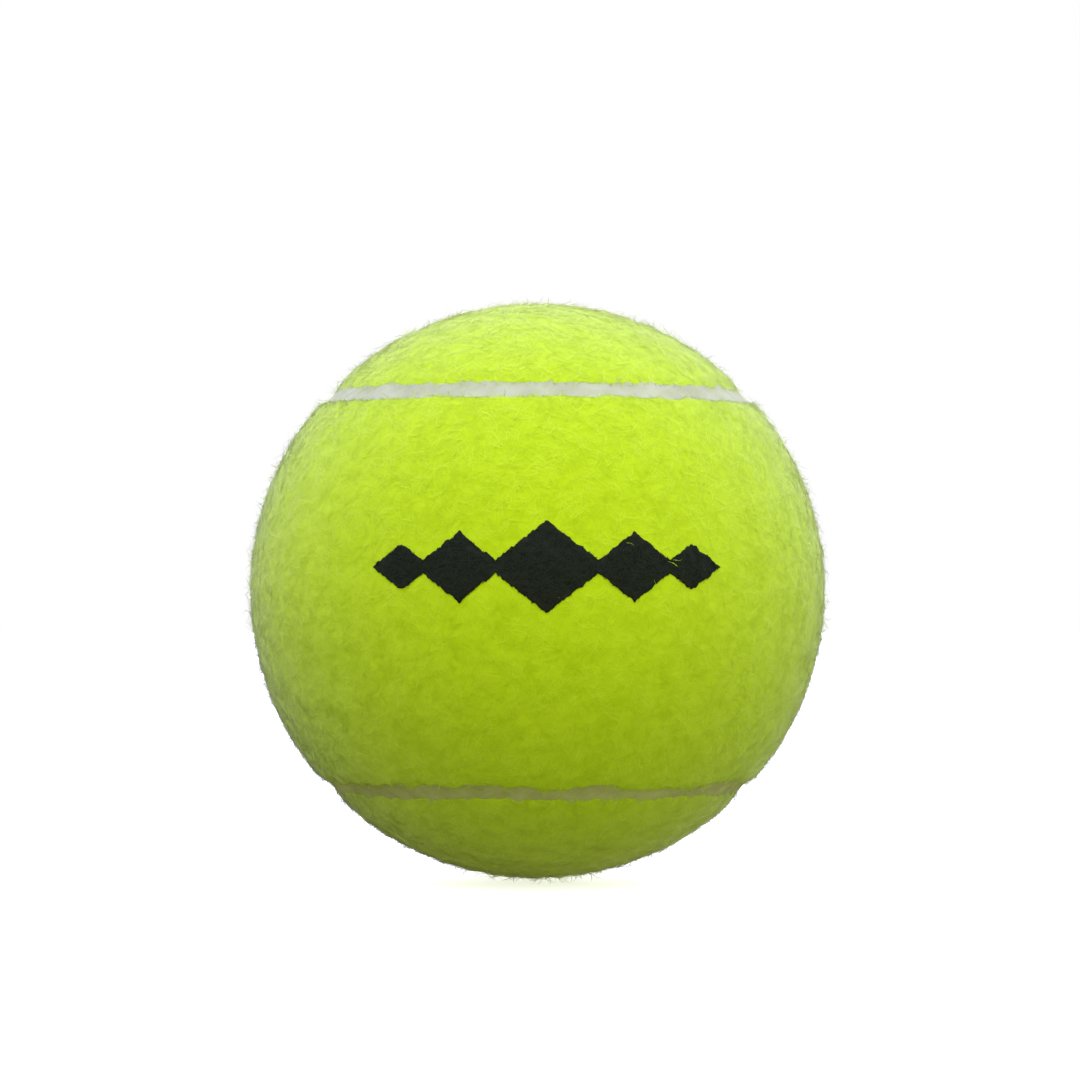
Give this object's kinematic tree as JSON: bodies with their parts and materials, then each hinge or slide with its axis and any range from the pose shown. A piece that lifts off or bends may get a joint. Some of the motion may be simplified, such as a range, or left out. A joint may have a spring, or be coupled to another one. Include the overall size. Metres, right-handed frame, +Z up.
{
  "type": "tennis ball",
  "caption": "Pressurised ball: a hollow rubber core in two cups, covered by two interlocking felt panels with a rubber seam between them and a plain printed mark.",
  "frame": {"origin": "the centre of the ball, which is the centre of its box", "axes": "+Y runs back through the middles of both felt panels' waists, and -Y comes out beside the printed mark. +Z is up, through the middle of one lobe of the back panel, and +X is to the right, through the middle of one lobe of the front panel. Turning the ball by a quarter about Y and mirroring it front to back lays one panel on the other."},
  "size_m": [0.0668, 0.0668, 0.0668],
  "materials": {
    "core_rubber": "moulded, matt",
    "rubber_cement": "brushed on, semi-matt",
    "yellow_felt": "raised and matted nap",
    "seam_rubber": "moulded, matt",
    "black_ink": "ink pressed into the felt"
  },
  "bodies": {
    "root": {"core_shell_lower": "core_rubber", "core_shell_upper": "core_rubber", "core_joint_cement": "rubber_cement", "panel_cement_a": "rubber_cement", "panel_cement_b": "rubber_cement", "felt_panel_a": "yellow_felt", "felt_panel_b": "yellow_felt", "seam_rubber": "seam_rubber", "printed_mark": "black_ink"}
  },
  "joints": []
}
